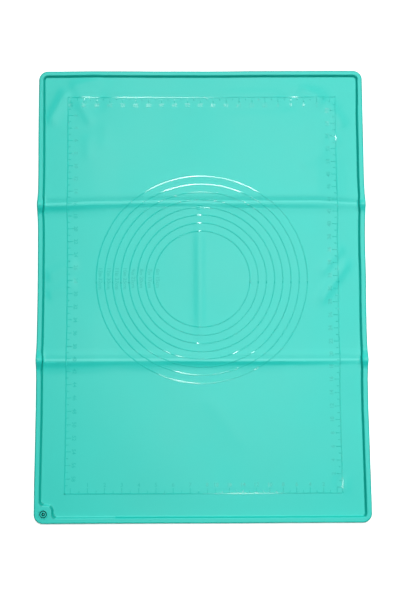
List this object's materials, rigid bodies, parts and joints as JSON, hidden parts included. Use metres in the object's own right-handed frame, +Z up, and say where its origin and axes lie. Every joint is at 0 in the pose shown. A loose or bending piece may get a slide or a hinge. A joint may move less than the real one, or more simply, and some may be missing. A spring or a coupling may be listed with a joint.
{
  "type": "silicone pastry mat",
  "caption": "Large flexible silicone pastry mat with a raised rim, a hanging hole in one corner and raised rolling guides, lying open with two fold creases.",
  "frame": {"origin": "centre of the lying mat's footprint, on the surface that it lies on", "axes": "+Z up from the worktop, +Y along the mat towards the end with no hanging hole, +X to the right"},
  "size_m": [0.5, 0.69, 0.0115],
  "materials": {
    "silicone": "satin"
  },
  "bodies": {
    "middle": {"middle_panel": "silicone", "upper_crease": "silicone", "lower_crease": "silicone", "upper_crease_rim_left": "silicone", "upper_crease_rim_right": "silicone", "middle_rim_left": "silicone", "middle_rim_right": "silicone", "lower_crease_rim_left": "silicone", "lower_crease_rim_right": "silicone"},
    "upper": {"upper_panel": "silicone", "upper_rim_left": "silicone", "upper_rim_right": "silicone", "upper_rim_top": "silicone"},
    "lower": {"lower_panel": "silicone", "lower_rim_left": "silicone", "lower_rim_right": "silicone", "lower_rim_bottom": "silicone", "corner_pad": "silicone"}
  },
  "joints": [
    {"name": "upper_fold", "type": "hinge", "parent": "middle", "child": "upper", "pos_m": [0, 0.13723, 0.0125], "axis": [1, 0, 0], "range_deg": [0, 178], "deforming": ["upper_crease", "upper_crease_rim_left", "upper_crease_rim_right"]},
    {"name": "lower_fold", "type": "hinge", "parent": "middle", "child": "lower", "pos_m": [0, -0.10393, 0.0058], "axis": [-1, 0, 0], "range_deg": [0, 178], "deforming": ["lower_crease", "lower_crease_rim_left", "lower_crease_rim_right"]}
  ]
}
